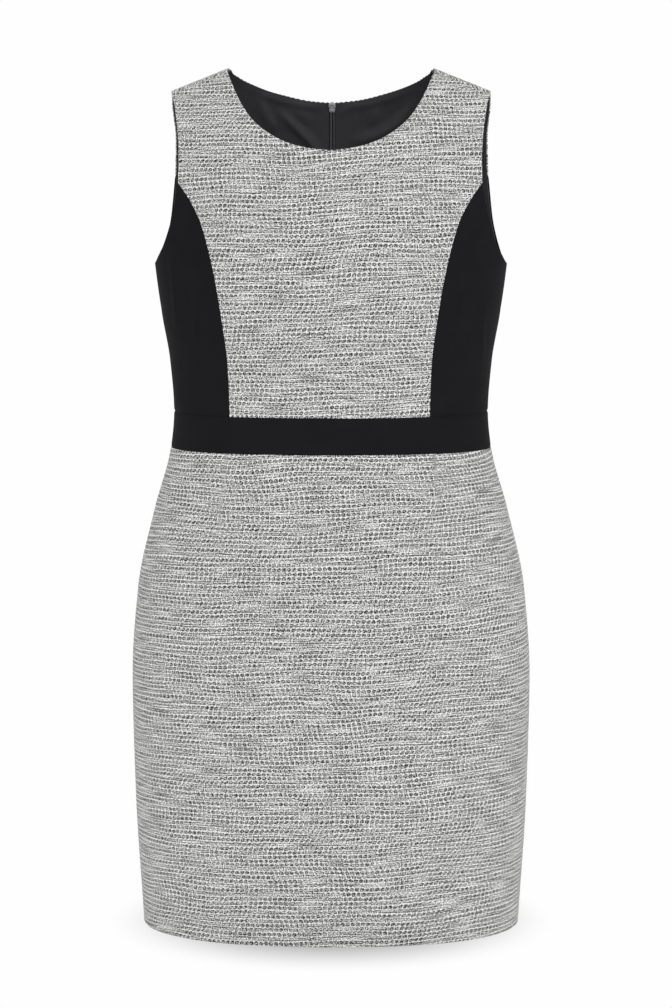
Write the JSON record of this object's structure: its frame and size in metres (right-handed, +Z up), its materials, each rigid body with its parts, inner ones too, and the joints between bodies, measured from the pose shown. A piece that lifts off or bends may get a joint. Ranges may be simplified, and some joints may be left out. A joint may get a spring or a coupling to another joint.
{
  "type": "sheath dress",
  "caption": "Sleeveless sheath dress in its worn, hollow form: tweed front and back, dark princess side panels and waistband, lined back and a centre back zip with a hinged pull tab.",
  "frame": {"origin": "midway between the two shoulder seams, at their middle height, in the plane of the side seams", "axes": "+X to the wearer's left, +Y to the back, +Z up; the front faces -Y"},
  "size_m": [0.4212, 0.264, 0.8998],
  "materials": {
    "tweed": "light grey boucle tweed in a brick weave, matt and rough",
    "crepe": "black crepe, smooth with a soft low sheen",
    "lining": "black satin lining, smooth with a soft sheen",
    "zip_tape": "black woven nylon tape and coil",
    "zip_metal": "grey enamelled zinc, half gloss"
  },
  "bodies": {
    "dress": {"front_bodice": "tweed", "front_skirt": "tweed", "back_bodice_left": "tweed", "back_bodice_right": "tweed", "back_skirt_left": "tweed", "back_skirt_right": "tweed", "front_side_left": "crepe", "front_side_right": "crepe", "front_waistband": "crepe", "back_side_left": "crepe", "back_side_right": "crepe", "back_waistband_left": "crepe", "back_waistband_right": "crepe", "lining_back_left": "lining", "lining_back_right": "lining", "lining_back_side_left": "lining", "lining_back_side_right": "lining", "zip_chain": "zip_tape", "zip_slider": "zip_metal"},
    "zip_pull": {"zip_pull": "zip_metal"}
  },
  "joints": [
    {"name": "zip_pull_flip", "type": "hinge", "parent": "dress", "child": "zip_pull", "pos_m": [0, 0.08441, -0.02213], "axis": [1, 0, 0], "range_deg": [0, 150]}
  ]
}
